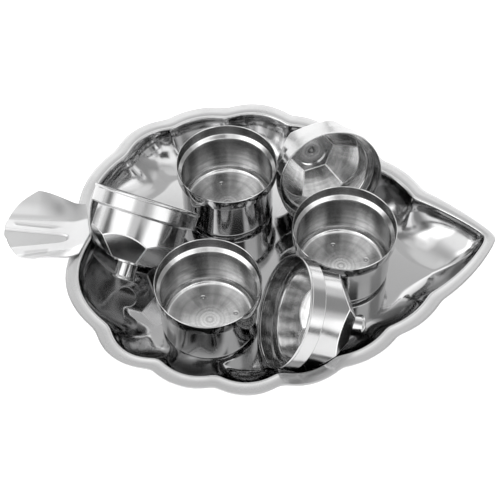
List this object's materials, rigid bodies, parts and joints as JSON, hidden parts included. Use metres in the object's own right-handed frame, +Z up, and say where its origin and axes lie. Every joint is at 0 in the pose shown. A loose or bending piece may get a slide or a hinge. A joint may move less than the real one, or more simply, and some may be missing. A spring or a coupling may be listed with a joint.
{
  "type": "kumkum plate",
  "caption": "Leaf-shaped steel kumkum plate with a fan handle, small round cups and their faceted lids lying in the tray",
  "frame": {"origin": "on the underside of the tray's flat floor, on the leaf's centre line, at mount tray_base", "axes": "+X from the handle to the leaf's tip, +Y to the leaf's far edge, +Z up"},
  "size_m": [0.2489, 0.1827, 0.0556],
  "materials": {
    "mirror_tray": "mirror polished stainless steel",
    "mirror_handle": "polished stainless steel",
    "spun_cup": "polished outside, spun inside",
    "bright_lid": "polished outside, spun inside",
    "bright_knob": "polished stainless steel"
  },
  "bodies": {
    "tray": {"leaf_tray": "mirror_tray", "stem_handle": "mirror_handle"},
    "back_cup": {"cup_back": "spun_cup"},
    "right_cup": {"cup_right": "spun_cup"},
    "front_cup": {"cup_front": "spun_cup"},
    "left_lid": {"lid_left": "bright_lid", "knob_left": "bright_knob"},
    "back_lid": {"lid_back": "bright_lid", "knob_back": "bright_knob"},
    "front_lid": {"lid_front": "bright_lid", "knob_front": "bright_knob"}
  },
  "joints": [
    {"name": "cup_back_lift", "type": "slide", "parent": "tray", "child": "back_cup", "axis": [0, 0, 1], "range_m": [0, 0.09]},
    {"name": "cup_right_lift", "type": "slide", "parent": "tray", "child": "right_cup", "axis": [0, 0, 1], "range_m": [0, 0.09]},
    {"name": "cup_front_lift", "type": "slide", "parent": "tray", "child": "front_cup", "axis": [0, 0, 1], "range_m": [0, 0.09]},
    {"name": "lid_left_lift", "type": "slide", "parent": "tray", "child": "left_lid", "axis": [-0.1336, -0.1593, 0.9781], "range_m": [0, 0.09]},
    {"name": "lid_back_lift", "type": "slide", "parent": "tray", "child": "back_lid", "axis": [0.1336, 0.1593, 0.9781], "range_m": [0, 0.09]},
    {"name": "lid_front_lift", "type": "slide", "parent": "tray", "child": "front_lid", "axis": [0.1593, -0.1336, 0.9781], "range_m": [0, 0.09]}
  ]
}
